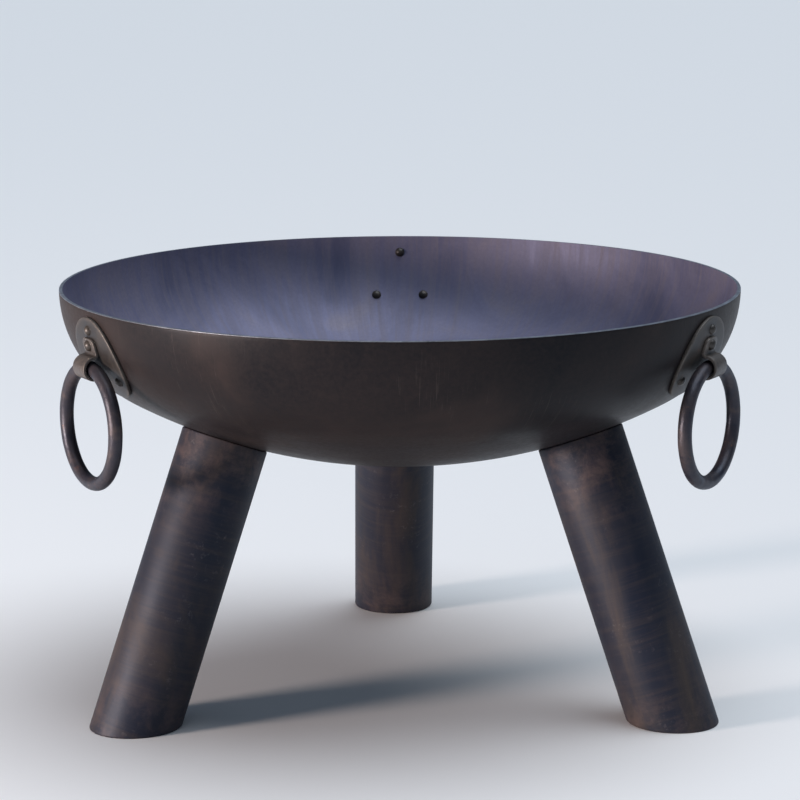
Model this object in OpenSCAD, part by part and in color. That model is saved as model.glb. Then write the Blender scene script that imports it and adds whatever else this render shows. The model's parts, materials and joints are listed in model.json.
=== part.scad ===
// Fire pit: a dished steel bowl on three bolted tube legs, with three ring handles and a lift-out grate.
// Millimetres. The origin is on the floor under the middle of the bowl, +Z is up and +Y is the back leg's side.

/* [Bowl] */
// Outer diameter of the bowl at its rim
bowl_d = 600; // [540:10:720]
// Outer depth of the bowl
bowl_h = 154.5; // [140:0.5:180]
// Outer radius of the knuckle that turns the side up to the rim
knuckle_r = 103; // [90:1:115]
// Sheet thickness of the bowl
bowl_wall = 3; // [2:0.5:4]
// Height of the rim above the floor
rim_z = 364; // [320:1:440]

/* [Legs] */
// Outer diameter of a leg tube
leg_d = 76; // [60:1:92]
// Wall of a leg tube
leg_wall = 3; // [2:0.5:4]
// Radius of the circle through the middles of the three feet
foot_circle_r = 268; // [220:1:300]
// Turn of the legs round from the handles, in degrees
leg_turn = 1.5; // [0:0.5:20]
// Rounding of the outer edge at a leg's top
leg_edge_r = 1.5; // [0.5:0.1:1.8]
// Thickness of the plate welded in a leg's top
top_plate_t = 6; // [4:1:10]
// Gap between the bowl and a leg's top plate
top_plate_gap = 1.5; // [1:0.5:4]
// Thickness of the plate that closes a foot
foot_plate_t = 3; // [2:0.5:5]

/* [Leg bolts] */
// Diameter of a leg bolt's shank
bolt_d = 12; // [8:1:14]
// Length of a leg bolt under its head
bolt_len = 30; // [28:1:45]
// Width across the flats of the bolt's head and of the nut
bolt_flats = 18; // [16:1:22]
// Height of the bolt's head
bolt_head_h = 7.5; // [5:0.5:9]
// Height of the nut welded under the top plate
nut_h = 10; // [6:0.5:12]
// Outer diameter of the washer under the bolt's head
washer_d = 24; // [22:1:30]
// Thickness of the washer
washer_t = 2.5; // [1.5:0.5:3]
// Radial clearance of the bolt in the bowl, washer and top plate
bolt_clear = 0.5; // [0.3:0.1:1]
// Radial clearance of the bolt's thread in the nut
thread_clear = 0.05; // [0.02:0.01:0.1]

/* [Ring handles] */
// Outer diameter of a ring
ring_d = 111; // [90:1:134]
// Diameter of the ring's bar
ring_bar_d = 12; // [8:0.5:14.5]
// Space between the ring's bar and the plate behind it
ring_gap = 1.6; // [1:0.1:3]
// Play between the ring's bar and the edges of the strap's eye
ring_play = 0.7; // [0.5:0.05:1.5]
// Part of that play that is left under the ring's bar as it hangs
ring_rest_gap = 0.5; // [0.4:0.05:0.5]

/* [Straps] */
// Width of the strap that holds a ring
strap_w = 22; // [16:1:28]
// Thickness of the strap
strap_t = 2.5; // [2:0.25:4]
// Inner radius of the strap's bend between its tab and its eye
strap_bend_r = 2; // [1.5:0.5:4]
// Distance down the wall from the rim to the strap's bend
strap_bend_drop = 33.5; // [32:0.5:38]
// Distance down the wall from the rim to the top of the strap's tab
strap_top_drop = 21.8; // [21:0.1:23]
// Radius of the tab's top corners
strap_corner_r = 7; // [3:0.5:8]
// Where the eye's tail ends under the ring's bar, in degrees below straight out
strap_tail_angle = 122; // [100:1:130]

/* [Handle plates] */
// Thickness of a handle plate
plate_t = 3; // [2:0.5:5]
// Distance down the wall from the rim to the plate's middle
plate_drop = 44; // [42:0.5:48]
// Diameter of the round plate
plate_d = 76; // [72:1:80]

/* [Rivets] */
// Diameter of every rivet's shank
rivet_d = 6; // [4:0.5:7]
// Diameter of a plate rivet's domed head
rivet_head_d = 9; // [8:0.5:11]
// Height of a plate rivet's domed head
rivet_head_h = 3.2; // [2:0.1:4]
// Distance down the wall from the rim to the plate's top rivet
top_rivet_drop = 16; // [15:0.5:16.5]
// Distance down the wall from the rim to the plate's two lower rivets
low_rivet_drop = 60; // [57:0.5:63]
// Distance of the lower rivets to each side
low_rivet_y = 23; // [21:0.5:26]
// Diameter of the strap rivet's domed head
strap_rivet_head_d = 10; // [8:0.5:10.5]
// Height of the strap rivet's domed head
strap_rivet_head_h = 3.6; // [2:0.1:4]
// Distance down the wall from the rim to the strap's rivet
strap_rivet_drop = 28.2; // [27.5:0.1:28.5]

/* [Grate] */
// Distance from the bowl's rim in to the grate's outer edge
grate_inset = 85; // [80:2.5:120]
// Diameter of the grate's ring bar
grate_ring_bar_d = 10; // [8:1:14]
// Diameter of the grate's straight bars
grate_bar_d = 8; // [6:0.5:10]
// Spacing of the straight bars
grate_pitch = 32; // [26:1:45]
// Distance of the two cross bars from the middle
cross_bar_y = 60; // [40:1:70]
// Length of a cross bar
cross_bar_len = 336; // [250:2:340]
// How far the cross bars are let into the straight bars at each weld
weld_depth = 0.6; // [0.3:0.1:1]
// Space left between the grate's ring and the bowl it rests in
grate_gap = 0.3; // [0.2:0.1:1]

/* [Positions] */
// Swing of the rings out from hanging, in degrees
ring_swing = 0; // [-40:5:160]
// Height that the grate is lifted out of the bowl
grate_lift = 0; // [0:5:150]

/* [Hidden] */
$fn = 96;
rim_r = bowl_d / 2;
knuckle_x = rim_r - knuckle_r;
crown_r = (rim_r * rim_r + bowl_h * bowl_h - 2 * rim_r * knuckle_r) / (2 * (bowl_h - knuckle_r));
crown_z = rim_z - bowl_h + crown_r;
crown_angle = asin(knuckle_x / (crown_r - knuckle_r));

leg_r = leg_d / 2;
leg_bore_r = leg_r - leg_wall;
leg_tilt = atan(foot_circle_r / crown_z);
leg_seat = sqrt(pow(crown_r, 2) - pow(leg_bore_r, 2));
top_plate_seat = crown_r + top_plate_gap;
leg_reach = crown_z / cos(leg_tilt) + leg_d;

bolt_hole_r = bolt_d / 2 + bolt_clear;
washer_seat = sqrt(pow(crown_r - bowl_wall, 2) - pow(washer_d / 2, 2));
head_seat = washer_seat - washer_t;
nut_seat = top_plate_seat + top_plate_t;
flats_to_corners = 1 / cos(30);

ring_bar_r = ring_bar_d / 2;
ring_r = ring_d / 2 - ring_bar_r;
ring_drop_at_strap = ring_r - sqrt(pow(ring_r, 2) - pow(strap_w / 2, 2));
eye_r = ring_bar_r + ring_drop_at_strap + ring_play;
ring_sag = ring_play - ring_rest_gap;

plate_face = knuckle_r + plate_t;
tab_face = plate_face + strap_t;
eye_out = ring_bar_r + ring_gap;
bend_to_eye = [eye_out - strap_t - strap_bend_r, eye_r + strap_t + strap_bend_r];
eye_down = sqrt(pow(bend_to_eye[1], 2) - pow(bend_to_eye[0], 2));
eye_angle = acos(bend_to_eye[0] / bend_to_eye[1]);
bend_slope = wall_slope(strap_bend_drop);
eye_rho = knuckle_x + (plate_face + eye_out) * cos(bend_slope) - eye_down * sin(bend_slope);
eye_z = rim_z - (plate_face + eye_out) * sin(bend_slope) - eye_down * cos(bend_slope);
tab_len = plate_face * sin(bend_slope - wall_slope(strap_top_drop));
handle_sector = 44;
arc_step = 5;
knuckle_step = 3;
crown_step = 1;
tab_angle = asin((tab_len + strap_t) / plate_face);
seat_r = plate_face / cos(arc_step / 2);
eye_allowance = 0.3;

grate_ring_r = (bowl_d - grate_ring_bar_d) / 2 - grate_inset;
grate_z = inside_z(grate_ring_r, grate_ring_bar_d / 2 + grate_gap) + grate_lift;
cross_bar_z = grate_z - grate_bar_d + weld_depth;
bars_each_side = floor((grate_ring_r - grate_pitch / 3) / grate_pitch);

front_left = 210;
front_right = 330;
back = 90;
handles = [front_left, front_right, back];

// Slope of the wall at a distance down it from the rim: 0 is upright.
function wall_slope(drop) = drop / knuckle_r * 180 / PI;

// Height of a point kept a gap off the bowl's inner face, at a distance from the bowl's axis.
function inside_z(rho, gap) =
    let (crown_in = crown_r - bowl_wall - gap, knuckle_in = knuckle_r - bowl_wall - gap)
    rho <= crown_in * sin(crown_angle)
        ? crown_z - sqrt(pow(crown_in, 2) - pow(rho, 2))
        : rim_z - sqrt(pow(knuckle_in, 2) - pow(rho - knuckle_x, 2));

function polar(r, angle) = r * [cos(angle), sin(angle)];

// Points along an arc from one angle up to, but not at, the other.
function arc_points(centre, r, from, to, step = arc_step) =
    let (count = ceil(abs(to - from) / step))
    [for (i = [0 : count - 1]) centre + polar(r, from + (to - from) * i / count)];

// Puts a child at a leg: the leg's axis is -Z, and z = 0 is the centre of the bowl's crown.
module at_leg(side)
{
    rotate([0, 0, side + leg_turn])
        translate([0, 0, crown_z])
            rotate([0, -leg_tilt, 0])
                children();
}

// Puts a child on the bowl's side wall: X is straight out of the wall, from the knuckle's centre.
module on_wall(drop)
{
    translate([knuckle_x, 0, rim_z])
        rotate([0, wall_slope(drop), 0])
            children();
}

// Turns a child round the bowl until it is a distance to the side at a given drop.
module round_wall(side_y, drop)
{
    rotate([0, 0, asin(side_y / (knuckle_x + knuckle_r * cos(wall_slope(drop))))])
        children();
}

// A sector of the space between two offsets of the knuckle.
module knuckle_shell(inner_r, outer_r)
{
    translate([0, 0, rim_z])
        rotate([0, 0, -handle_sector / 2])
            rotate_extrude(angle = handle_sector)
                translate([knuckle_x, 0])
                    difference() {
                        circle(outer_r);
                        circle(inner_r);
                    }
}

// A prism along X from its outline in Y and Z.
module out_prism(from, to)
{
    translate([from, 0, 0])
        rotate([90, 0, 90])
            linear_extrude(to - from)
                children();
}

// A straight shank along X.
module shank(r, from, to)
{
    translate([from, 0, 0])
        rotate([0, 90, 0])
            cylinder(r = r, h = to - from);
}

// A domed rivet head along X from its flat seat; facing is 1 for outwards and -1 for inwards.
module dome(d, h, seat, facing)
{
    ball_r = (d * d / 4 + h * h) / (2 * h);
    translate([seat, 0, 0])
        rotate([0, 90 * facing, 0])
            intersection() {
                translate([0, 0, h - ball_r])
                    sphere(ball_r);
                cylinder(r = d, h = h + 1);
            }
}

// Points down one face of the bowl, from the rim to the small flat round its axis; inset is how far the
// face lies inside the outer one.
function bowl_face(inset) =
    let (
        knuckle = arc_points([knuckle_x, rim_z], knuckle_r - inset, 0, crown_angle - 90, knuckle_step),
        crown = arc_points([0, crown_z], crown_r - inset, crown_angle - 90, -90, crown_step)
    )
    concat(knuckle, crown, [[0, crown[len(crown) - 1][1]]]);

// Half of the bowl's section: the outer face down to the middle, and the inner face back up.
module bowl_section()
{
    inner = bowl_face(bowl_wall);
    polygon(concat(
        bowl_face(0),
        [for (i = [len(inner) - 1 : -1 : 0]) inner[i]]
    ));
}

module plate_rivet_holes(from, to)
{
    on_wall(top_rivet_drop)
        shank(rivet_d / 2, from, to);
    for (side = [-1, 1])
        round_wall(side * low_rivet_y, low_rivet_drop)
            on_wall(low_rivet_drop)
                shank(rivet_d / 2, from, to);
}

module bowl()
{
    color("#4b4643")
        difference() {
            rotate_extrude()
                bowl_section();
            for (side = handles) {
                at_leg(side)
                    translate([0, 0, -crown_r - bowl_wall])
                        cylinder(r = bolt_hole_r, h = 3 * bowl_wall);
                rotate([0, 0, side])
                    plate_rivet_holes(knuckle_r - 2 * bowl_wall, knuckle_r + bowl_wall);
            }
        }
}

module leg_tube(side)
{
    color("#4a403a")
        difference() {
            at_leg(side)
                difference() {
                    translate([0, 0, -leg_reach])
                        cylinder(r = leg_r, h = leg_reach - leg_seat);
                    translate([0, 0, -leg_reach - 1])
                        cylinder(r = leg_bore_r, h = leg_reach + 1);
                    translate([0, 0, -leg_seat])
                        leg_edge_rounding();
                }
            floor_cut();
        }
}

// What rounds off the outer edge at a leg's top, whose top is at z = 0.
module leg_edge_rounding()
{
    rotate_extrude()
        difference() {
            translate([leg_r - leg_edge_r, -leg_edge_r])
                square(2 * leg_edge_r);
            translate([leg_r - leg_edge_r, -leg_edge_r])
                circle(leg_edge_r);
        }
}

// Everything under the floor, where the legs are cut off level.
module floor_cut()
{
    translate([-rim_r - leg_d, -rim_r - leg_d, -3 * leg_d])
        cube([bowl_d + 2 * leg_d, bowl_d + 2 * leg_d, 3 * leg_d]);
}

module leg_top_plate(side)
{
    color("#5b5650")
        at_leg(side)
            translate([0, 0, -top_plate_seat - top_plate_t])
                difference() {
                    cylinder(r = leg_bore_r, h = top_plate_t);
                    translate([0, 0, -1])
                        cylinder(r = bolt_hole_r, h = top_plate_t + 2);
                }
}

module leg_weld_nut(side)
{
    color("#6d6a66")
        at_leg(side)
            translate([0, 0, -nut_seat - nut_h])
                difference() {
                    cylinder(r = bolt_flats / 2 * flats_to_corners, h = nut_h, $fn = 6);
                    translate([0, 0, -1])
                        cylinder(r = bolt_d / 2 + thread_clear, h = nut_h + 2);
                }
}

module leg_bolt(side)
{
    color("#77736e")
        at_leg(side)
            translate([0, 0, -head_seat]) {
                cylinder(r = bolt_flats / 2 * flats_to_corners, h = bolt_head_h, $fn = 6);
                translate([0, 0, -bolt_len])
                    cylinder(r = bolt_d / 2, h = bolt_len);
            }
}

module leg_washer(side)
{
    color("#85817b")
        at_leg(side)
            translate([0, 0, -washer_seat])
                difference() {
                    cylinder(r = washer_d / 2, h = washer_t);
                    translate([0, 0, -1])
                        cylinder(r = bolt_hole_r, h = washer_t + 2);
                }
}

module foot_plate(side)
{
    color("#5b5650")
        intersection() {
            at_leg(side)
                translate([0, 0, -leg_reach])
                    cylinder(r = leg_bore_r, h = leg_reach / 2);
            translate([-rim_r - leg_d, -rim_r - leg_d, 0])
                cube([bowl_d + 2 * leg_d, bowl_d + 2 * leg_d, foot_plate_t]);
        }
}

// Rounded triangle with its sides bulged out and its point at the top.
module handle_plate(side)
{
    color("#3f3a37")
        rotate([0, 0, side])
            difference() {
                intersection() {
                    knuckle_shell(knuckle_r, plate_face);
                    on_wall(plate_drop)
                        out_prism(knuckle_r / 2, 2 * knuckle_r)
                            circle(d = plate_d);
                }
                plate_rivet_holes(knuckle_r - bowl_wall, plate_face + plate_t);
                on_wall(strap_rivet_drop)
                    shank(rivet_d / 2, knuckle_r - bowl_wall, plate_face + plate_t);
            }
}

module one_plate_rivet()
{
    head_r = rivet_head_d / 2;
    inner_seat = sqrt(pow(knuckle_r - bowl_wall, 2) - pow(head_r, 2));
    shank(rivet_d / 2, inner_seat, plate_face);
    dome(rivet_head_d, rivet_head_h, plate_face, 1);
    dome(rivet_head_d, rivet_head_h, inner_seat, -1);
}

module plate_rivets(side)
{
    color("#5a544f")
        rotate([0, 0, side]) {
            on_wall(top_rivet_drop)
                one_plate_rivet();
            for (to_side = [-1, 1])
                round_wall(to_side * low_rivet_y, low_rivet_drop)
                    on_wall(low_rivet_drop)
                        one_plate_rivet();
        }
}

// Section of the strap: up the wall, through the small bend and round the eye.
module strap_section()
{
    bend_centre = [tab_face + strap_bend_r, 0];
    eye_centre = [plate_face + eye_out, -eye_down];
    eye_outer_r = eye_r + strap_t;
    polygon(concat(
        arc_points([0, 0], seat_r, tab_angle, 0),
        arc_points(bend_centre, strap_bend_r + strap_t, 180, 360 - eye_angle),
        arc_points(eye_centre, eye_r - eye_allowance, 180 - eye_angle, -strap_tail_angle),
        [eye_centre + polar(eye_r - eye_allowance, -strap_tail_angle)],
        arc_points(eye_centre, eye_outer_r, -strap_tail_angle, 180 - eye_angle),
        arc_points(bend_centre, strap_bend_r, 360 - eye_angle, 180),
        arc_points([0, 0], tab_face, 0, tab_angle),
        [polar(tab_face, tab_angle)]
    ));
}

// The strap seen from outside: straight sides and rounded upper corners.
module strap_outline()
{
    flat_w = strap_w - 2 * strap_corner_r;
    bottom = eye_down + eye_r + 2 * strap_t;
    translate([-strap_w / 2, -bottom])
        square([strap_w, bottom + tab_len - strap_corner_r]);
    translate([-flat_w / 2, -bottom])
        square([flat_w, bottom + tab_len]);
    for (side = [-1, 1])
        translate([side * flat_w / 2, tab_len - strap_corner_r])
            circle(strap_corner_r);
}

module strap(side)
{
    color("#4d4641")
        rotate([0, 0, side])
            difference() {
                on_wall(strap_bend_drop)
                    difference() {
                        intersection() {
                            rotate([90, 0, 0])
                                linear_extrude(2 * strap_w, center = true)
                                    strap_section();
                            out_prism(knuckle_r / 2, 2 * knuckle_r)
                                strap_outline();
                        }
                        translate([plate_face + eye_out, 0, -eye_down])
                            rotate([90, 0, 0])
                                cylinder(r = eye_r, h = 2 * strap_w, center = true);
                    }
                on_wall(strap_rivet_drop)
                    shank(rivet_d / 2, plate_face - strap_t, tab_face + strap_t);
            }
}

module strap_rivet(side)
{
    color("#5a544f")
        rotate([0, 0, side])
            on_wall(strap_rivet_drop) {
                shank(rivet_d / 2, knuckle_r, tab_face);
                dome(strap_rivet_head_d, strap_rivet_head_h, tab_face, 1);
            }
}

// A closed ring of round bar, which swings about the middle of its bar in the strap's eye.
module ring(side)
{
    color("#3b3530")
        rotate([0, 0, side])
            translate([eye_rho, 0, eye_z - ring_sag])
                rotate([0, -ring_swing, 0])
                    translate([0, 0, -ring_r])
                        rotate([0, 90, 0])
                            rotate_extrude()
                                translate([ring_r, 0])
                                    circle(ring_bar_r);
}

module grate_hoop()
{
    translate([0, 0, grate_z])
        rotate_extrude()
            translate([grate_ring_r, 0])
                circle(grate_ring_bar_d / 2);
}

module grate_ring()
{
    color("#56504b")
        grate_hoop();
}

module grate_rods()
{
    for (i = [-bars_each_side : bars_each_side]) {
        half = sqrt(pow(grate_ring_r, 2) - pow(i * grate_pitch, 2));
        translate([i * grate_pitch, half, grate_z])
            rotate([90, 0, 0])
                cylinder(r = grate_bar_d / 2, h = 2 * half);
    }
}

module grate_bars()
{
    color("#5e5751")
        difference() {
            grate_rods();
            grate_hoop();
        }
}

module grate_cross_bars()
{
    color("#5e5751")
        difference() {
            for (side = [-1, 1])
                translate([-cross_bar_len / 2, side * cross_bar_y, cross_bar_z])
                    rotate([0, 90, 0])
                        cylinder(r = grate_bar_d / 2, h = cross_bar_len);
            grate_rods();
        }
}

bowl();
grate_ring();
grate_bars();
grate_cross_bars();
leg_tube(front_left);  // front_left_leg_tube
leg_top_plate(front_left);  // front_left_leg_top_plate
leg_weld_nut(front_left);  // front_left_leg_weld_nut
leg_bolt(front_left);  // front_left_leg_bolt
leg_washer(front_left);  // front_left_leg_washer
foot_plate(front_left);  // front_left_foot_plate
leg_tube(front_right);  // front_right_leg_tube
leg_top_plate(front_right);  // front_right_leg_top_plate
leg_weld_nut(front_right);  // front_right_leg_weld_nut
leg_bolt(front_right);  // front_right_leg_bolt
leg_washer(front_right);  // front_right_leg_washer
foot_plate(front_right);  // front_right_foot_plate
leg_tube(back);  // back_leg_tube
leg_top_plate(back);  // back_leg_top_plate
leg_weld_nut(back);  // back_leg_weld_nut
leg_bolt(back);  // back_leg_bolt
leg_washer(back);  // back_leg_washer
foot_plate(back);  // back_foot_plate
handle_plate(front_left);  // front_left_handle_plate
plate_rivets(front_left);  // front_left_plate_rivets
strap(front_left);  // front_left_strap
strap_rivet(front_left);  // front_left_strap_rivet
ring(front_left);  // front_left_ring
handle_plate(front_right);  // front_right_handle_plate
plate_rivets(front_right);  // front_right_plate_rivets
strap(front_right);  // front_right_strap
strap_rivet(front_right);  // front_right_strap_rivet
ring(front_right);  // front_right_ring
handle_plate(back);  // back_handle_plate
plate_rivets(back);  // back_plate_rivets
strap(back);  // back_strap
strap_rivet(back);  // back_strap_rivet
ring(back);  // back_ring
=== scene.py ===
import json
import math

import bmesh
import bpy
from mathutils import Matrix, Vector


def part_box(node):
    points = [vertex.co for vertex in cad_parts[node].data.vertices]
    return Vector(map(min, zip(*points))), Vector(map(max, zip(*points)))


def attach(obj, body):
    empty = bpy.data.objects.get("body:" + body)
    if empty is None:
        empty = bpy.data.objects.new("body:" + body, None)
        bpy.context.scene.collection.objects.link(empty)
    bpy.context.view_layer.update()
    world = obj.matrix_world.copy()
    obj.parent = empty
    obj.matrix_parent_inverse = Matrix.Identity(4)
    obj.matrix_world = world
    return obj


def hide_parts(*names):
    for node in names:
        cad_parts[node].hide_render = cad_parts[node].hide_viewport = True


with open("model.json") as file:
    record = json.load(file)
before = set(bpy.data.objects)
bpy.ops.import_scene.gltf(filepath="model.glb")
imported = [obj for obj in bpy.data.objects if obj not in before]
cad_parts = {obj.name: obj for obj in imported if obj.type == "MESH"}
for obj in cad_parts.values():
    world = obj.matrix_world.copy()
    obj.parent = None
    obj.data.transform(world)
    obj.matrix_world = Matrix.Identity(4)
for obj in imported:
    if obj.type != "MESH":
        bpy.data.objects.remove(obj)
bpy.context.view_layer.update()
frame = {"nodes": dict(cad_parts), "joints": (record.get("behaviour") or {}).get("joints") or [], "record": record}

bpy.ops.object.select_all(action="DESELECT")
print("frame loaded:", len(frame["nodes"]), "nodes")


# places that the frame gives

mountAt = {mount["name"]: Vector(mount["pos_m"]) for mount in frame["record"]["mounts"]}
hingeAt = {joint["child"]: Vector(joint["pos_m"]) for joint in frame["joints"] if joint["type"] == "hinge"}
sides = ["front_left", "front_right", "back"]
sideAngle = {side: math.atan2(hingeAt[side + "_ring"].y, hingeAt[side + "_ring"].x) for side in sides}
footAngle = {side: math.atan2(mountAt[side + "_foot"].y, mountAt[side + "_foot"].x) for side in sides}
hingeOut = hingeAt["back_ring"].xy.length  # distance of a ring's pivot from the bowl's axis
hingeUp = hingeAt["back_ring"].z
footOut = mountAt["back_foot"].xy.length
rimUp = mountAt["rim_rest"].z

bowl = {
    "rimR": 0.300,
    "depth": 0.1545,
    "knuckleR": 0.103,   # the tight curve under the rim
    "wall": 0.003,
    "around": 256,
    "crownRings": 150,
    "knuckleRings": 34,
    "edgeRound": 0.0005,
}
knuckleOut = bowl["rimR"] - bowl["knuckleR"]
crownR = (bowl["rimR"] ** 2 + bowl["depth"] ** 2 - 2 * bowl["rimR"] * bowl["knuckleR"]) / (
    2 * (bowl["depth"] - bowl["knuckleR"])
)
crownUp = rimUp - bowl["depth"] + crownR
crownAngle = math.asin(knuckleOut / (crownR - bowl["knuckleR"]))


# small helpers

def pick(piece):
    if bpy.context.object and bpy.context.object.mode != "OBJECT":
        bpy.ops.object.mode_set(mode="OBJECT")
    bpy.ops.object.select_all(action="DESELECT")
    piece.select_set(True)
    bpy.context.view_layer.objects.active = piece


def settle(piece):
    # the place and turn go into the mesh, so the object ends at the origin
    pick(piece)
    bpy.ops.object.transform_apply(location=True, rotation=True, scale=True)


def newest(name):
    piece = bpy.context.active_object
    piece.name = name
    piece.data.name = name
    settle(piece)
    return piece


def startEdit(piece, mode="FACE", allOn=False):
    pick(piece)
    bpy.ops.object.mode_set(mode="EDIT")
    bpy.ops.mesh.select_mode(type=mode)
    bpy.ops.mesh.select_all(action="SELECT" if allOn else "DESELECT")


def endEdit():
    bpy.ops.object.mode_set(mode="OBJECT")


def choose(piece, kind, test):
    mesh = bmesh.from_edit_mesh(piece.data)
    for part in getattr(mesh, kind):
        part.select_set(bool(test(part)))
    mesh.select_flush_mode()
    bmesh.update_edit_mesh(piece.data)


def modify(piece, kind, **settings):
    pick(piece)
    modifier = piece.modifiers.new(kind.lower(), kind)
    for key, value in settings.items():
        setattr(modifier, key, value)
    bpy.ops.object.modifier_apply(modifier=modifier.name)


def bevelSharp(piece, width, segments, degrees):
    # rounds the edges that turn by more than so many degrees
    modify(piece, "BEVEL", width=width, segments=segments, limit_method="ANGLE",
           angle_limit=math.radians(degrees))


def smooth(piece, degrees=35):
    pick(piece)
    bpy.ops.object.shade_smooth_by_angle(angle=math.radians(degrees))


def outwards(piece):
    startEdit(piece, "FACE", True)
    bpy.ops.mesh.normals_make_consistent(inside=False)
    endEdit()


def join(pieces, name):
    pick(pieces[0])
    for piece in pieces[1:]:
        piece.select_set(True)
    bpy.ops.object.join()
    pieces[0].name = name
    pieces[0].data.name = name
    return pieces[0]


def hammered(piece, depth, size):
    # slightly uneven bar, half the depth in and half out
    marks = bpy.data.textures.new(piece.name + "Marks", "CLOUDS")
    marks.noise_scale = size
    marks.noise_depth = 1
    modify(piece, "DISPLACE", texture=marks, strength=depth, mid_level=0.5, texture_coords="LOCAL")


def copyTurned(piece, name, angle):
    # a copy with its own mesh, turned about the bowl's axis
    twin = piece.copy()
    twin.data = piece.data.copy()
    twin.name = name
    twin.data.name = name
    bpy.context.collection.objects.link(twin)
    twin.rotation_euler = (0, 0, angle)
    settle(twin)
    return twin


def discard(piece):
    bpy.data.objects.remove(piece, do_unlink=True)


def camel(side):
    words = side.split("_")
    return words[0] + "".join(word.capitalize() for word in words[1:])


def finishPiece(piece, body, slot, materials, *nodes):
    piece.data.materials.clear()
    for material in materials:
        piece.data.materials.append(material)
    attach(piece, body)
    if nodes:
        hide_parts(*nodes)


# the wall frame: "out" is straight out of the wall, from the knuckle's centre,
# at a distance down from the rim

def wallSlope(drop):
    return drop / bowl["knuckleR"]


def wallFrame(drop, sideways=0.0):
    turn = 0.0
    if sideways:
        turn = math.asin(sideways / (knuckleOut + bowl["knuckleR"] * math.cos(wallSlope(drop))))
    return (
        Matrix.Rotation(turn, 4, "Z")
        @ Matrix.Translation((knuckleOut, 0, rimUp))
        @ Matrix.Rotation(wallSlope(drop), 4, "Y")
    )


def bowlGap(point, offset):
    # how far a point lies outside the face that is offset from the bowl's outer one
    reach = math.hypot(point.x, point.y) - knuckleOut
    return math.hypot(reach, point.z - rimUp) - bowl["knuckleR"] - offset


def ontoWall(point, direction, offset):
    # slides a point along a direction until it is on that face
    step = 0.0001
    for _ in range(8):
        gap = bowlGap(point, offset)
        slide = bowlGap(point + direction * step, offset) - gap
        point = point - direction * (gap / slide * step)
    return point


# materials

def addNode(tree, kind, x, y, **settings):
    made = tree.nodes.new(kind)
    made.location = (x, y)
    for key, value in settings.items():
        setattr(made, key, value)
    return made


def noise(tree, vector, x, y, scale, detail=4.0, roughness=0.55, distortion=0.0):
    made = addNode(tree, "ShaderNodeTexNoise", x, y)
    made.inputs["Scale"].default_value = scale
    made.inputs["Detail"].default_value = detail
    made.inputs["Roughness"].default_value = roughness
    made.inputs["Distortion"].default_value = distortion
    tree.links.new(vector, made.inputs["Vector"])
    return made.outputs["Fac"]


def ramp(tree, value, x, y, stops):
    made = addNode(tree, "ShaderNodeValToRGB", x, y)
    tree.links.new(value, made.inputs["Fac"])
    bar = made.color_ramp
    while len(bar.elements) < len(stops):
        bar.elements.new(0.5)
    for element, (place, colour) in zip(bar.elements, stops):
        element.position = place
        element.color = (*colour, 1)
    return made.outputs["Color"]


def window(tree, value, x, y, low, high, toLow=0.0, toHigh=1.0):
    # stretches a value between two limits
    made = addNode(tree, "ShaderNodeMapRange", x, y)
    made.inputs["From Min"].default_value = low
    made.inputs["From Max"].default_value = high
    made.inputs["To Min"].default_value = toLow
    made.inputs["To Max"].default_value = toHigh
    tree.links.new(value, made.inputs["Value"])
    return made.outputs["Result"]


def math2(tree, operation, first, second, x, y):
    made = addNode(tree, "ShaderNodeMath", x, y, operation=operation)
    for socket, value in zip(made.inputs, (first, second)):
        if isinstance(value, (int, float)):
            socket.default_value = value
        else:
            tree.links.new(value, socket)
    return made.outputs["Value"]


def mixColour(tree, amount, first, second, x, y):
    made = addNode(tree, "ShaderNodeMix", x, y, data_type="RGBA", blend_type="MIX")
    sockets = (made.inputs[0], made.inputs[6], made.inputs[7])
    for socket, value in zip(sockets, (amount, first, second)):
        if isinstance(value, (int, float)):
            socket.default_value = value
        elif isinstance(value, tuple):
            socket.default_value = (*value, 1)
        else:
            tree.links.new(value, socket)
    return made.outputs[2]


def stretched(tree, vector, x, y, turn, scale):
    # object coordinates turned to a piece's own direction and stretched along it
    made = addNode(tree, "ShaderNodeMapping", x, y, vector_type="POINT")
    made.inputs["Rotation"].default_value = turn
    made.inputs["Scale"].default_value = scale
    tree.links.new(vector, made.inputs["Vector"])
    return made.outputs["Vector"]


def aroundBowl(tree, vector, x, y, across, down):
    # coordinates that run round the bowl's axis without a seam, for marks that run down the wall
    parts = addNode(tree, "ShaderNodeSeparateXYZ", x, y)
    tree.links.new(vector, parts.inputs[0])
    flat = addNode(tree, "ShaderNodeCombineXYZ", x + 160, y)
    tree.links.new(parts.outputs["X"], flat.inputs["X"])
    tree.links.new(parts.outputs["Y"], flat.inputs["Y"])
    unit = addNode(tree, "ShaderNodeVectorMath", x + 320, y, operation="NORMALIZE")
    tree.links.new(flat.outputs[0], unit.inputs[0])
    spread = addNode(tree, "ShaderNodeVectorMath", x + 480, y, operation="SCALE")
    spread.inputs["Scale"].default_value = across
    tree.links.new(unit.outputs[0], spread.inputs[0])
    height = math2(tree, "MULTIPLY", parts.outputs["Z"], down, x + 320, y - 160)
    lift = addNode(tree, "ShaderNodeCombineXYZ", x + 480, y - 160)
    tree.links.new(height, lift.inputs["Z"])
    total = addNode(tree, "ShaderNodeVectorMath", x + 640, y, operation="ADD")
    tree.links.new(spread.outputs[0], total.inputs[0])
    tree.links.new(lift.outputs[0], total.inputs[1])
    return total.outputs[0]


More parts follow.
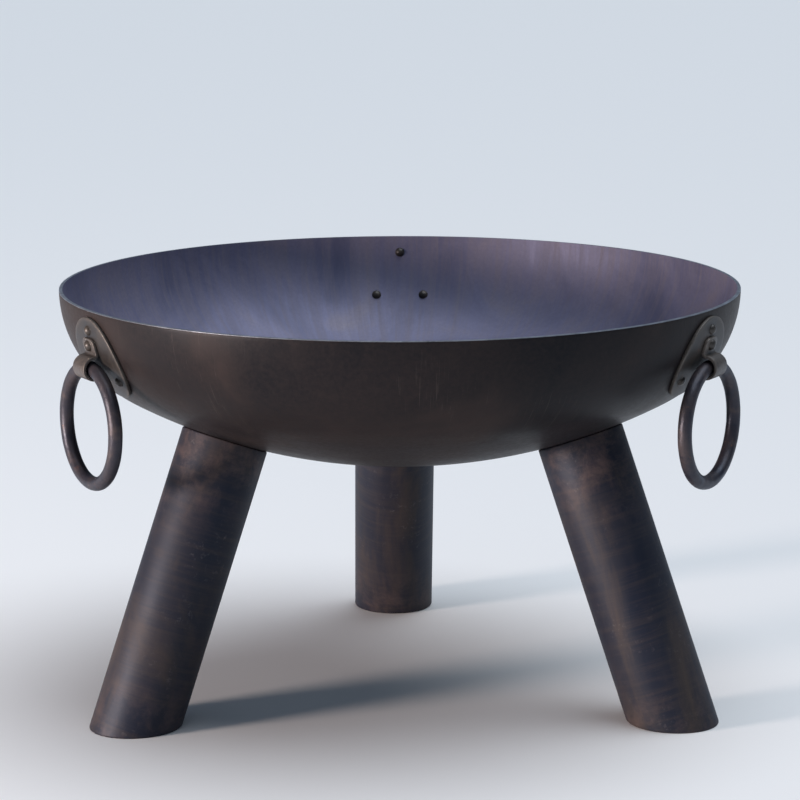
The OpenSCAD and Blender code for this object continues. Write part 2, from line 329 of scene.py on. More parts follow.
def newSteel(name, metallic, specular=0.5):
    material = bpy.data.materials.new(name)
    material.use_nodes = True
    tree = material.node_tree
    shader = tree.nodes["Principled BSDF"]
    shader.inputs["Metallic"].default_value = metallic
    shader.inputs["Specular IOR Level"].default_value = specular
    shader.inputs["Specular Tint"].default_value = (0.74, 0.86, 1.0, 1)  # painted reflection colour: tints every reflection bluish, standing in for the bluish sheen of skylight
    coords = addNode(tree, "ShaderNodeTexCoord", -2000, 0).outputs["Object"]
    return material, tree, shader, coords


def bump(tree, shader, height, strength, distance, x=-300, y=-500, below=None):
    made = addNode(tree, "ShaderNodeBump", x, y)
    made.inputs["Strength"].default_value = strength
    made.inputs["Distance"].default_value = distance
    tree.links.new(height, made.inputs["Height"])
    if below is not None:
        tree.links.new(below, made.inputs["Normal"])
    tree.links.new(made.outputs["Normal"], shader.inputs["Normal"])
    return made.outputs["Normal"]


def bowlOutsideSteel():
    look = {"dark": (0.009, 0.009, 0.011), "mid": (0.017, 0.014, 0.0145), "warm": (0.036, 0.026, 0.024),
            "scratch": (0.10, 0.085, 0.075), "rough": (0.36, 0.52)}
    material, tree, shader, coords = newSteel("bowlOutsideSteel", 0.06, 0.10)
    blotch = noise(tree, coords, -1500, 300, 6.0, 6, 0.6, 0.4)
    tones = [(0.32, look["dark"]), (0.52, look["mid"]), (0.70, look["warm"])]
    colour = ramp(tree, blotch, -1200, 300, tones)
    fine = noise(tree, coords, -1500, 0, 260.0, 5, 0.7)
    grain = window(tree, fine, -1200, 0, 0.35, 0.75, 0.0, 0.35)
    colour = mixColour(tree, grain, colour, look["warm"], -900, 200)
    down = aroundBowl(tree, coords, -1900, -400, 60.0, 7.0)
    streak = noise(tree, down, -1100, -400, 3.2, 5, 0.75, 0.6)
    patch = noise(tree, coords, -1100, -650, 9.0, 2, 0.5)
    marks = math2(tree, "MULTIPLY", window(tree, streak, -900, -400, 0.60, 0.74),
                  window(tree, patch, -900, -650, 0.48, 0.62), -700, -400)
    scratches = math2(tree, "MULTIPLY", marks, 0.75, -600, -200)
    colour = mixColour(tree, scratches, colour, look["scratch"], -500, 200)
    tree.links.new(colour, shader.inputs["Base Color"])
    rough = math2(tree, "ADD", window(tree, blotch, -1200, -150, 0.3, 0.7, *look["rough"]),
                  window(tree, fine, -1000, -150, 0.3, 0.7, -0.05, 0.06), -700, 0)
    tree.links.new(rough, shader.inputs["Roughness"])
    low = bump(tree, shader, noise(tree, coords, -900, -900, 22.0, 3, 0.5), 0.12, 0.004, -500, -800)
    bump(tree, shader, fine, 0.10, 0.0006, below=low)
    return material


def bowlInsideSteel():
    look = {"dark": (0.104, 0.106, 0.180), "mid": (0.175, 0.171, 0.266), "warm": (0.247, 0.213, 0.237),
            "rough": (0.50, 0.68)}
    material, tree, shader, coords = newSteel("bowlInsideSteel", 0.3, 0.4)
    blotch = noise(tree, coords, -1500, 300, 7.0, 6, 0.62, 0.8)
    tones = [(0.33, look["dark"]), (0.52, look["mid"]), (0.72, look["warm"])]
    colour = ramp(tree, blotch, -1200, 300, tones)
    down = aroundBowl(tree, coords, -1900, -400, 14.0, 3.0)
    streak = noise(tree, down, -1100, -400, 3.0, 5, 0.65, 1.0)
    runs = window(tree, streak, -900, -300, 0.42, 0.68, 0.0, 0.45)
    colour = mixColour(tree, runs, colour, look["warm"], -700, 250)
    fine = noise(tree, coords, -1500, 0, 320.0, 5, 0.7)
    grain = window(tree, fine, -1200, 0, 0.3, 0.7, 0.0, 0.35)
    colour = mixColour(tree, grain, colour, look["dark"], -500, 200)
    tree.links.new(colour, shader.inputs["Base Color"])
    tree.links.new(window(tree, streak, -900, -100, 0.3, 0.7, *look["rough"]), shader.inputs["Roughness"])
    low = bump(tree, shader, blotch, 0.10, 0.004, -500, -800)
    bump(tree, shader, fine, 0.12, 0.0006, below=low)
    return material


def wornEdgeSteel():
    look = {"dark": (0.09, 0.095, 0.11), "bright": (0.28, 0.30, 0.35)}
    material, tree, shader, coords = newSteel("wornEdgeSteel", 0.5)
    wear = noise(tree, coords, -1200, 200, 60.0, 6, 0.7, 0.3)
    colour = ramp(tree, wear, -900, 200, [(0.30, look["dark"]), (0.66, look["bright"])])
    tree.links.new(colour, shader.inputs["Base Color"])
    tree.links.new(window(tree, wear, -900, -100, 0.3, 0.7, 0.46, 0.32), shader.inputs["Roughness"])
    bump(tree, shader, noise(tree, coords, -900, -400, 900.0, 3, 0.6), 0.15, 0.0003)
    return material


def legSteel(side):
    # mill scale on drawn tube: blue-black, bronze where it was heated,
    # rubbed rosy near the top and the foot
    look = {"dark": (0.010, 0.012, 0.025), "mid": (0.018, 0.018, 0.028), "bronze": (0.056, 0.041, 0.035),
            "rosy": (0.125, 0.083, 0.074), "pale": (0.17, 0.145, 0.15), "rough": (0.50, 0.66)}
    material, tree, shader, coords = newSteel(camel(side) + "LegSteel", 0.20, 0.38)
    tilt = math.atan(footOut / crownUp)
    turn = Matrix.Rotation(tilt, 3, "Y") @ Matrix.Rotation(-footAngle[side], 3, "Z")
    along = stretched(tree, coords, -1900, 0, turn.to_euler(), (1, 1, 1))
    long = stretched(tree, along, -1700, 200, (0, 0, 0), (1, 1, 0.38))
    blotch = noise(tree, long, -1500, 300, 17.0, 8, 0.64, 0.6)
    tones = [(0.34, look["dark"]), (0.50, look["mid"]), (0.68, look["bronze"])]
    colour = ramp(tree, blotch, -1300, 300, tones)
    band = stretched(tree, along, -1700, -200, (0, 0, 0), (0.5, 0.5, 9))
    rings = noise(tree, band, -1500, -200, 24.0, 5, 0.7, 0.2)
    banded = window(tree, rings, -1300, -200, 0.46, 0.72, 0.0, 0.42)
    colour = mixColour(tree, banded, colour, look["bronze"], -1000, 250)
    height = addNode(tree, "ShaderNodeSeparateXYZ", -1700, -900)
    tree.links.new(coords, height.inputs[0])
    nearTop = window(tree, height.outputs["Z"], -1500, -900, 0.165, 0.225)
    nearFoot = window(tree, height.outputs["Z"], -1500, -1100, 0.060, 0.010)
    nearFoot = math2(tree, "MULTIPLY", nearFoot, 0.7, -1300, -1100)
    ends = math2(tree, "ADD", nearTop, nearFoot, -1100, -950)
    rub = noise(tree, coords, -1500, -1300, 44.0, 7, 0.72, 0.3)
    rubbed = math2(tree, "MULTIPLY", ends, window(tree, rub, -1300, -1300, 0.46, 0.74), -900, -950)
    rubbed = math2(tree, "MULTIPLY", rubbed, 0.65, -850, -800)
    colour = mixColour(tree, rubbed, colour, look["rosy"], -800, 250)
    speck = noise(tree, coords, -1500, -500, 210.0, 6, 0.75, 0.4)
    patch = noise(tree, coords, -1500, -700, 24.0, 3, 0.6)
    worn = math2(tree, "MULTIPLY", window(tree, speck, -1300, -500, 0.56, 0.74),
                 window(tree, patch, -1300, -700, 0.50, 0.66), -1100, -600)
    worn = math2(tree, "MULTIPLY", worn, 0.55, -950, -500)
    colour = mixColour(tree, worn, colour, look["pale"], -600, 250)
    tree.links.new(colour, shader.inputs["Base Color"])
    tree.links.new(window(tree, blotch, -900, -50, 0.3, 0.7, *look["rough"]), shader.inputs["Roughness"])
    low = bump(tree, shader, rings, 0.05, 0.002, -500, -800)
    bump(tree, shader, speck, 0.16, 0.0006, below=low)
    return material


def forgedSteel(name, look):
    # bar, plate and rivets: dark oiled scale, rubbed bright where the surface turns sharply
    material, tree, shader, coords = newSteel(name, look["metallic"])
    blotch = noise(tree, coords, -1500, 300, look["blotch"], 6, 0.65, 0.5)
    tones = [(0.34, look["dark"]), (0.52, look["mid"]), (0.70, look["warm"])]
    colour = ramp(tree, blotch, -1200, 300, tones)
    fine = noise(tree, coords, -1500, 0, 420.0, 5, 0.7)
    form = addNode(tree, "ShaderNodeNewGeometry", -1500, -300)
    edge = window(tree, form.outputs["Pointiness"], -1200, -300, *look["edge"])
    edge = math2(tree, "MULTIPLY", edge, window(tree, fine, -1200, -500, 0.30, 0.60, 0.3, 1.0), -1000, -300)
    colour = mixColour(tree, edge, colour, look["worn"], -800, 250)
    spots = window(tree, noise(tree, coords, -1500, -700, 130.0, 4, 0.7), -1200, -700, 0.64, 0.74)
    rust = math2(tree, "MULTIPLY", spots, window(tree, blotch, -1200, -900, 0.45, 0.6), -1000, -700)
    rust = math2(tree, "MULTIPLY", rust, look["rusty"], -800, -600)
    colour = mixColour(tree, rust, colour, (0.20, 0.085, 0.035), -600, 250)
    tree.links.new(colour, shader.inputs["Base Color"])
    tree.links.new(window(tree, blotch, -900, -50, 0.3, 0.7, *look["rough"]), shader.inputs["Roughness"])
    dents = noise(tree, coords, -900, -900, look["dents"], 3, 0.5)
    low = bump(tree, shader, dents, look["dentDepth"], 0.001, -500, -800)
    bump(tree, shader, fine, 0.20, 0.0004, below=low)
    return material


steels = {
    "outside": bowlOutsideSteel(),
    "inside": bowlInsideSteel(),
    "edge": wornEdgeSteel(),
    "plate": forgedSteel("plateSteel", {
        "metallic": 0.3, "blotch": 22.0, "dark": (0.018, 0.016, 0.016), "mid": (0.036, 0.030, 0.026),
        "warm": (0.060, 0.047, 0.038), "worn": (0.17, 0.145, 0.125), "edge": (0.505, 0.56), "rusty": 0.3,
        "rough": (0.40, 0.56), "dents": 60.0, "dentDepth": 0.10}),
    "strap": forgedSteel("strapSteel", {
        "metallic": 0.35, "blotch": 40.0, "dark": (0.024, 0.021, 0.020), "mid": (0.052, 0.043, 0.036),
        "warm": (0.095, 0.074, 0.060), "worn": (0.19, 0.16, 0.14), "edge": (0.505, 0.56), "rusty": 0.3,
        "rough": (0.36, 0.52), "dents": 90.0, "dentDepth": 0.12}),
    "ring": forgedSteel("ringSteel", {
        "metallic": 0.4, "blotch": 46.0, "dark": (0.016, 0.017, 0.030), "mid": (0.030, 0.026, 0.034),
        "warm": (0.072, 0.052, 0.050), "worn": (0.16, 0.13, 0.12), "edge": (0.51, 0.58), "rusty": 0.9,
        "rough": (0.34, 0.54), "dents": 150.0, "dentDepth": 0.45}),
    "rivet": forgedSteel("rivetSteel", {
        "metallic": 0.4, "blotch": 90.0, "dark": (0.028, 0.024, 0.022), "mid": (0.060, 0.050, 0.042),
        "warm": (0.10, 0.080, 0.065), "worn": (0.20, 0.17, 0.15), "edge": (0.52, 0.62), "rusty": 0.4,
        "rough": (0.30, 0.46), "dents": 260.0, "dentDepth": 0.20}),
    "bolt": forgedSteel("boltSteel", {
        "metallic": 0.75, "blotch": 80.0, "dark": (0.060, 0.057, 0.055), "mid": (0.10, 0.094, 0.088),
        "warm": (0.15, 0.13, 0.11), "worn": (0.30, 0.28, 0.26), "edge": (0.51, 0.60), "rusty": 0.7,
        "rough": (0.36, 0.55), "dents": 200.0, "dentDepth": 0.12}),
    "inner": forgedSteel("footSteel", {
        "metallic": 0.6, "blotch": 50.0, "dark": (0.045, 0.042, 0.040), "mid": (0.075, 0.068, 0.062),
        "warm": (0.12, 0.10, 0.085), "worn": (0.22, 0.20, 0.18), "edge": (0.51, 0.60), "rusty": 0.8,
        "rough": (0.45, 0.62), "dents": 90.0, "dentDepth": 0.12}),
    "grate": forgedSteel("grateSteel", {
        "metallic": 0.45, "blotch": 18.0, "dark": (0.028, 0.026, 0.026), "mid": (0.060, 0.054, 0.050),
        "warm": (0.11, 0.075, 0.055), "worn": (0.15, 0.13, 0.12), "edge": (0.52, 0.62), "rusty": 1.0,
        "rough": (0.55, 0.75), "dents": 160.0, "dentDepth": 0.25}),
}
legSteels = {side: legSteel(side) for side in sides}
print("materials made:", len(bpy.data.materials))


# bowl

def makeBowl():
    crownEdgeUp = crownUp - crownR * math.cos(crownAngle)
    bpy.ops.mesh.primitive_uv_sphere_add(
        segments=bowl["around"], ring_count=bowl["crownRings"], radius=crownR, location=(0, 0, crownUp)
    )
    shell = newest("bowlShell")
    startEdit(shell, "FACE", True)
    bpy.ops.mesh.bisect(plane_co=(0, 0, crownEdgeUp), plane_no=(0, 0, 1), clear_outer=True)
    bpy.ops.mesh.select_mode(type="EDGE")
    choose(shell, "edges", lambda edge: edge.is_boundary)
    out, up = knuckleOut + bowl["knuckleR"] * math.sin(crownAngle), crownEdgeUp
    for step in range(1, bowl["knuckleRings"] + 1):
        angle = (crownAngle - math.pi / 2) * (1 - step / bowl["knuckleRings"])
        nextOut = knuckleOut + bowl["knuckleR"] * math.cos(angle)
        nextUp = rimUp + bowl["knuckleR"] * math.sin(angle)
        bpy.ops.mesh.extrude_edges_move(TRANSFORM_OT_translate={"value": (0, 0, nextUp - up)})
        bpy.ops.transform.resize(value=(nextOut / out, nextOut / out, 1), center_override=(0, 0, nextUp))
        out, up = nextOut, nextUp
    bpy.ops.mesh.select_all(action="SELECT")
    bpy.ops.mesh.remove_doubles(threshold=0.00001)
    bpy.ops.mesh.normals_make_consistent(inside=False)
    endEdit()
    for material in (steels["outside"], steels["inside"], steels["edge"]):
        shell.data.materials.append(material)
    modify(shell, "SOLIDIFY", thickness=bowl["wall"], offset=-1, use_even_offset=True,
           material_offset=1, material_offset_rim=2)
    startEdit(shell, "EDGE")
    choose(shell, "edges", lambda edge: all(abs(v.co.z - rimUp) < 0.00002 for v in edge.verts)
           and abs(edge.verts[0].co.xy.length - edge.verts[1].co.xy.length) < 0.0001)
    bpy.ops.mesh.bevel(offset=bowl["edgeRound"], segments=2, affect="EDGES", material=2)
    endEdit()
    smooth(shell, 40)
    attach(shell, "fire_bowl")
    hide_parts("bowl")


makeBowl()
print("bowl made")


# legs

leg = {
    "r": 0.038,
    "wall": 0.003,
    "topRound": 0.0015,
    "footRound": 0.0018,
    "around": 128,
    "footPlate": 0.003,
    "plateEdge": 0.0006,
    "blank": 0.06,       # length of the rod that the foot plate is cut from
    "skin": 0.0001,      # edges this near the tube's outer face are on it
}
legTilt = math.atan(footOut / crownUp)
legBoreR = leg["r"] - leg["wall"]
legSeat = math.sqrt(crownR ** 2 - legBoreR ** 2)   # from the crown's centre to the tube's top
legTurn = Matrix.Translation((0, 0, crownUp)) @ Matrix.Rotation(-legTilt, 4, "Y")
legDown = (legTurn.to_3x3() @ Vector((0, 0, -1))).normalized()


def onLegAxis(distance):
    return Vector((0, 0, crownUp)) + legDown * distance


def makeLegTube():
    reach = crownUp / math.cos(legTilt) + leg["r"]
    length = reach - legSeat
    bpy.ops.mesh.primitive_cylinder_add(
        vertices=leg["around"], radius=leg["r"], depth=length, end_fill_type="NOTHING",
        location=onLegAxis(legSeat + length / 2), rotation=(0, -legTilt, 0)
    )
    tube = newest("legTube")
    modify(tube, "SOLIDIFY", thickness=leg["wall"], offset=-1, use_even_offset=True)
    startEdit(tube, "FACE", True)
    bpy.ops.mesh.bisect(plane_co=(0, 0, 0), plane_no=(0, 0, 1), clear_inner=True)
    bpy.ops.mesh.select_mode(type="EDGE")
    choose(tube, "edges", lambda edge: edge.is_boundary)
    bpy.ops.mesh.bridge_edge_loops()
    outerR = leg["r"] - leg["skin"]

    def offAxis(v):
        toPoint = v.co - onLegAxis(0)
        return (toPoint - legDown * toPoint.dot(legDown)).length

    choose(tube, "edges", lambda edge: all(offAxis(v) > outerR and v.co.z < 0.00001 for v in edge.verts))
    bpy.ops.mesh.bevel(offset=leg["footRound"], segments=4, affect="EDGES")
    choose(tube, "edges", lambda edge: all(
        offAxis(v) > outerR and (v.co - onLegAxis(legSeat)).dot(legDown) < 0.00001 for v in edge.verts))
    bpy.ops.mesh.bevel(offset=leg["topRound"], segments=4, affect="EDGES")
    endEdit()
    outwards(tube)
    smooth(tube, 40)
    return tube


def makeFootPlate():
    bpy.ops.mesh.primitive_cylinder_add(
        vertices=leg["around"], radius=legBoreR, depth=leg["blank"],
        location=onLegAxis(crownUp / math.cos(legTilt)), rotation=(0, -legTilt, 0)
    )
    plate = newest("footPlate")
    startEdit(plate, "FACE", True)
    bpy.ops.mesh.bisect(plane_co=(0, 0, 0), plane_no=(0, 0, 1), clear_inner=True, use_fill=True)
    bpy.ops.mesh.select_all(action="SELECT")
    bpy.ops.mesh.bisect(
        plane_co=(0, 0, leg["footPlate"]), plane_no=(0, 0, 1), clear_outer=True, use_fill=True
    )
    endEdit()
    bevelSharp(plate, leg["plateEdge"], 2, 50)
    outwards(plate)
    smooth(plate, 40)
    return plate


legTube = makeLegTube()
footPlate = makeFootPlate()


# leg bolts and washers, seen inside the bowl

bolt = {
    "flats": 0.018,
    "headH": 0.0075,
    "shankR": 0.006,
    "length": 0.030,
    "washerR": 0.012,
    "washerT": 0.0025,
    "holeR": 0.0065,
    "edge": 0.00035,
    "chamferR": 0.0177,      # the ball that rounds off the head's corners
    "chamferDown": 0.0155,   # its centre under the head's top
}
washerSeat = math.sqrt((crownR - bowl["wall"]) ** 2 - bolt["washerR"] ** 2)
headSeat = washerSeat - bolt["washerT"]


def makeBolt():
    top = headSeat - bolt["headH"]
    bpy.ops.mesh.primitive_uv_sphere_add(
        segments=64, ring_count=32, radius=bolt["chamferR"], location=onLegAxis(top + bolt["chamferDown"])
    )
    ball = newest("chamferBall")
    bpy.ops.mesh.primitive_cylinder_add(
        vertices=6, radius=bolt["flats"] / 2 / math.cos(math.pi / 6), depth=bolt["headH"],
        location=onLegAxis(top + bolt["headH"] / 2), rotation=(0, -legTilt, 0)
    )
    head = newest("boltHead")
    bevelSharp(head, bolt["edge"], 2, 40)
    modify(head, "BOOLEAN", operation="INTERSECT", solver="EXACT", object=ball)
    discard(ball)
    bpy.ops.mesh.primitive_cylinder_add(
        vertices=48, radius=bolt["shankR"], depth=bolt["length"],
        location=onLegAxis(headSeat + bolt["length"] / 2), rotation=(0, -legTilt, 0)
    )
    shank = newest("boltShank")
    bevelSharp(shank, bolt["edge"], 2, 60)
    whole = join([head, shank], "legBolt")
    smooth(whole, 30)
    return whole


def makeWasher():
    bpy.ops.mesh.primitive_cylinder_add(
        vertices=64, radius=bolt["holeR"], depth=bolt["washerT"], end_fill_type="NOTHING",
        location=onLegAxis(washerSeat - bolt["washerT"] / 2), rotation=(0, -legTilt, 0)
    )
    washer = newest("legWasher")
    modify(washer, "SOLIDIFY", thickness=bolt["washerR"] - bolt["holeR"], offset=1)
    bevelSharp(washer, bolt["edge"], 2, 40)
    outwards(washer)
    smooth(washer, 35)
    return washer


legBolt = makeBolt()
legWasher = makeWasher()
for side in sides:
    name = camel(side)
    turn = footAngle[side]
    finishPiece(copyTurned(legTube, name + "LegTube", turn), "fire_bowl", "leg_steel",
                [legSteels[side]], side + "_leg_tube")
    finishPiece(copyTurned(footPlate, name + "FootPlate", turn), "fire_bowl", "inner_steel",
                [steels["inner"]], side + "_foot_plate")
    finishPiece(copyTurned(legBolt, name + "LegBolt", turn), "fire_bowl", "bolt_steel",
                [steels["bolt"]], side + "_leg_bolt")
    finishPiece(copyTurned(legWasher, name + "LegWasher", turn), "fire_bowl", "bolt_steel",
                [steels["bolt"]], side + "_leg_washer")
    for node in ("_leg_top_plate", "_leg_weld_nut"):
        cadMesh = frame["nodes"][side + node].data
        cadMesh.materials.clear()
        cadMesh.materials.append(steels["inner"])
for piece in (legTube, footPlate, legBolt, legWasher):
    discard(piece)
print("legs made")


# handle plates

plate = {
    "thick": 0.003,
    "drop": 0.044,     # down the wall from the rim to the plate's middle
    "r": 0.038,
    "around": 96,
    "rings": 12,
    "edge": 0.0008,
}


def makeHandlePlate():
    place = wallFrame(plate["drop"])
    outward = place.to_3x3() @ Vector((1, 0, 0))
    bpy.ops.mesh.primitive_circle_add(
        vertices=plate["around"], radius=plate["r"], fill_type="NOTHING", rotation=(0, math.pi / 2, 0)
    )
    piece = newest("handlePlate")
    startEdit(piece, "EDGE", True)
    for ringsLeft in range(plate["rings"], 1, -1):
        shrink = (ringsLeft - 1) / ringsLeft
        bpy.ops.mesh.extrude_edges_move(TRANSFORM_OT_translate={"value": (0, 0, 0)})
        bpy.ops.transform.resize(value=(1, shrink, shrink), center_override=(0, 0, 0))
    bpy.ops.mesh.edge_face_add()
    bpy.ops.mesh.poke()
    endEdit()
    for vertex in piece.data.vertices:
        start = place @ (vertex.co + Vector((bowl["knuckleR"], 0, 0)))
        vertex.co = ontoWall(start, outward, 0.0)
    outwards(piece)
    facing = sum(face.normal.dot(outward) for face in piece.data.polygons)
    outside = 1 if facing > 0 else -1
    modify(piece, "SOLIDIFY", thickness=plate["thick"], offset=outside, use_even_offset=True)
    outwards(piece)
    bevelSharp(piece, plate["edge"], 3, 50)
    smooth(piece, 40)
    return piece


# straps

strap = {
    "width": 0.022,
    "thick": 0.0025,
    "bendR": 0.002,
    "bendDrop": 0.0335,
    "topDrop": 0.0218,
    "cornerR": 0.007,
    "tail": math.radians(122),
    "lap": 0.0006,   # flat left beyond the rounded corners
    "edge": 0.0005,
}
ring = {
    "barR": 0.006,
    "r": 0.0495,        # to the middle of the bar
    "gap": 0.0016,      # between the bar and the plate
    "play": 0.0007,     # round the bar, in the strap's eye
    "uneven": 0.00022,  # from low to high on the forged bar
    "grain": 0.011,     # size of its uneven places
}
plateFace = bowl["knuckleR"] + plate["thick"]
tabFace = plateFace + strap["thick"]
barDrop = ring["r"] - math.sqrt(ring["r"] ** 2 - (strap["width"] / 2) ** 2)
eyeR = ring["barR"] + barDrop + ring["play"]
eyeOut = ring["barR"] + ring["gap"]
bendToEye = eyeR + strap["thick"] + strap["bendR"]
eyeAngle = math.acos((eyeOut - strap["thick"] - strap["bendR"]) / bendToEye)
eyeDown = bendToEye * math.sin(eyeAngle)


def makeStrap():
    place = wallFrame(strap["bendDrop"])
    sideAxis = Vector((0, 1, 0))   # turns from "up" to "out"
    tabAngle = wallSlope(strap["bendDrop"]) - wallSlope(strap["topDrop"])
    firstAngle = (strap["cornerR"] + strap["lap"]) / plateFace
    half = strap["width"] / 2
    bpy.ops.mesh.primitive_plane_add(size=strap["width"])
    piece = newest("strap")
    startEdit(piece, "VERT")
    choose(piece, "verts", lambda v: v.co.x < 0)
    bpy.ops.mesh.delete(type="VERT")
    endEdit()
    top = Vector((plateFace * math.cos(tabAngle), 0, plateFace * math.sin(tabAngle)))
    for vertex in piece.data.vertices:
        vertex.co = place @ (top + Vector((0, math.copysign(half, vertex.co.y), 0)))
    bends = [   # centre in the wall frame, turn, steps
        ((0, 0, 0), -firstAngle, 1),
        ((0, 0, 0), -(tabAngle - firstAngle), 3),
        ((tabFace + strap["bendR"], 0, 0), math.pi - eyeAngle, 12),
        ((plateFace + eyeOut, 0, -eyeDown), -(math.pi - eyeAngle + strap["tail"]), 44),
    ]
    startEdit(piece, "EDGE", True)
    for centre, angle, steps in bends:
        bpy.ops.mesh.spin(steps=steps, angle=angle, center=place @ Vector(centre), axis=sideAxis)
    bpy.ops.mesh.select_mode(type="VERT")
    topLine = place @ top
    choose(piece, "verts", lambda v: (v.co.xz - topLine.xz).length < 0.00002)
    bpy.ops.mesh.bevel(offset=strap["cornerR"], segments=7, affect="VERTICES")
    endEdit()
    outwards(piece)
    tab = min(piece.data.polygons, key=lambda face: (face.center - topLine).length)
    facing = tab.normal.dot(place.to_3x3() @ Vector((1, 0, 0)))
    outside = 1 if facing > 0 else -1
    modify(piece, "SOLIDIFY", thickness=strap["thick"], offset=outside, use_even_offset=True)
    outwards(piece)
    bevelSharp(piece, strap["edge"], 3, 50)
    smooth(piece, 40)
    return piece


# rivets

rivet = {
    "shankR": 0.003,
    "headR": 0.0045,
    "headH": 0.0032,
    "topDrop": 0.016,
    "lowDrop": 0.060,
    "lowSide": 0.023,
    "strapHeadR": 0.005,
    "strapHeadH": 0.0036,
    "strapDrop": 0.0282,
    "skirt": 0.0003,
}


def makeDome(place, headR, headH, seat, facing):
    ballR = (headR ** 2 + headH ** 2) / (2 * headH)
    bpy.ops.mesh.primitive_uv_sphere_add(
        segments=36, ring_count=24, radius=ballR,
        location=place @ Vector((seat + facing * (headH - ballR), 0, 0)),
        rotation=(place.to_3x3() @ Matrix.Rotation(math.pi / 2, 3, "Y")).to_euler()
    )
    dome = newest("dome")
    startEdit(dome, "FACE", True)
    bpy.ops.mesh.bisect(
        plane_co=place @ Vector((seat, 0, 0)), plane_no=place.to_3x3() @ Vector((facing, 0, 0)),
        clear_inner=True
    )
    bpy.ops.mesh.select_mode(type="EDGE")
    choose(dome, "edges", lambda edge: edge.is_boundary)
    skirt = place.to_3x3() @ Vector((-facing * rivet["skirt"], 0, 0))
    bpy.ops.mesh.extrude_edges_move(TRANSFORM_OT_translate={"value": skirt})
    bpy.ops.mesh.edge_face_add()
    endEdit()
    outwards(dome)
    return dome


def makeShank(place, start, end):
    bpy.ops.mesh.primitive_cylinder_add(
        vertices=32, radius=rivet["shankR"], depth=end - start,
        location=place @ Vector(((start + end) / 2, 0, 0)),
        rotation=(place.to_3x3() @ Matrix.Rotation(math.pi / 2, 3, "Y")).to_euler()
    )
    return newest("shank")


def makePlateRivets():
    innerSeat = math.sqrt((bowl["knuckleR"] - bowl["wall"]) ** 2 - rivet["headR"] ** 2)
    parts = []
    for drop, sideways in ((rivet["topDrop"], 0), (rivet["lowDrop"], -rivet["lowSide"]),
                           (rivet["lowDrop"], rivet["lowSide"])):
        place = wallFrame(drop, sideways)
        parts.append(makeDome(place, rivet["headR"], rivet["headH"], plateFace, 1))
        parts.append(makeDome(place, rivet["headR"], rivet["headH"], innerSeat, -1))
        parts.append(makeShank(place, innerSeat, plateFace))
    rivets = join(parts, "plateRivets")
    smooth(rivets, 50)
    return rivets


def makeStrapRivet():
    place = wallFrame(rivet["strapDrop"])
    head = makeDome(place, rivet["strapHeadR"], rivet["strapHeadH"], tabFace, 1)
    whole = join([head, makeShank(place, bowl["knuckleR"], tabFace)], "strapRivet")
    smooth(whole, 50)
    return whole


# rings

def makeRing():
    bpy.ops.mesh.primitive_torus_add(
        major_radius=ring["r"], minor_radius=ring["barR"], major_segments=160, minor_segments=32,
        location=(hingeOut, 0, hingeUp - ring["r"]), rotation=(0, math.pi / 2, 0)
    )
    piece = newest("ring")
    outwards(piece)
    hammered(piece, ring["uneven"], ring["grain"])
    smooth(piece, 180)
    return piece


handlePlate = makeHandlePlate()
plateRivets = makePlateRivets()
strapPiece = makeStrap()
strapRivet = makeStrapRivet()
ringPiece = makeRing()
for side in sides:
    name = camel(side)
    turn = sideAngle[side]
    finishPiece(copyTurned(handlePlate, name + "HandlePlate", turn), "fire_bowl", "handle_steel",
                [steels["plate"]], side + "_handle_plate")
    finishPiece(copyTurned(plateRivets, name + "PlateRivets", turn), "fire_bowl", "rivet_steel",
                [steels["rivet"]], side + "_plate_rivets")
    finishPiece(copyTurned(strapPiece, name + "Strap", turn), "fire_bowl", "handle_steel",
                [steels["strap"]], side + "_strap")
    finishPiece(copyTurned(strapRivet, name + "StrapRivet", turn), "fire_bowl", "rivet_steel",
                [steels["rivet"]], side + "_strap_rivet")
    finishPiece(copyTurned(ringPiece, name + "Ring", turn), side + "_ring", "ring_steel",
                [steels["ring"]], side + "_ring")
for piece in (handlePlate, plateRivets, strapPiece, strapRivet, ringPiece):
    discard(piece)
print("handles made")


# grate

grate = {
    "ringBarR": 0.005,
    "barR": 0.004,
    "pitch": 0.032,
    "crossY": 0.060,
    "crossLength": 0.336,
    "letIn": 0.0006,
    "beadR": 0.0032,
    "uneven": 0.0002,
    "grain": 0.014,
    "enters": 0.7,                     # share of the hoop's bar that a rod goes into
    "beadIn": 0.0006,
    "endBead": (1.45, 0.9, 1.1),
    "crossBead": (1.35, 1.35, 0.6),
}
grateLow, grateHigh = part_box("grate_ring")
grateUp = (grateLow.z + grateHigh.z) / 2
grateR = (grateHigh.x - grateLow.x) / 2 - grate["ringBarR"]
crossUp = grateUp - 2 * grate["barR"] + grate["letIn"]
barsEachSide = int((grateR - grate["pitch"] / 3) / grate["pitch"])


def makeRod(name, r, length, middle, turn):
    bpy.ops.mesh.primitive_cylinder_add(vertices=24, radius=r, depth=length, location=middle, rotation=turn)
    rod = newest(name)
    bevelSharp(rod, r * 0.3, 2, 60)
    return rod


def makeBead(spot, size, stretch):
    bpy.ops.mesh.primitive_uv_sphere_add(segments=12, ring_count=8, radius=size, location=spot)
    bead = bpy.context.active_object
    bead.scale = stretch
    return newest("bead")


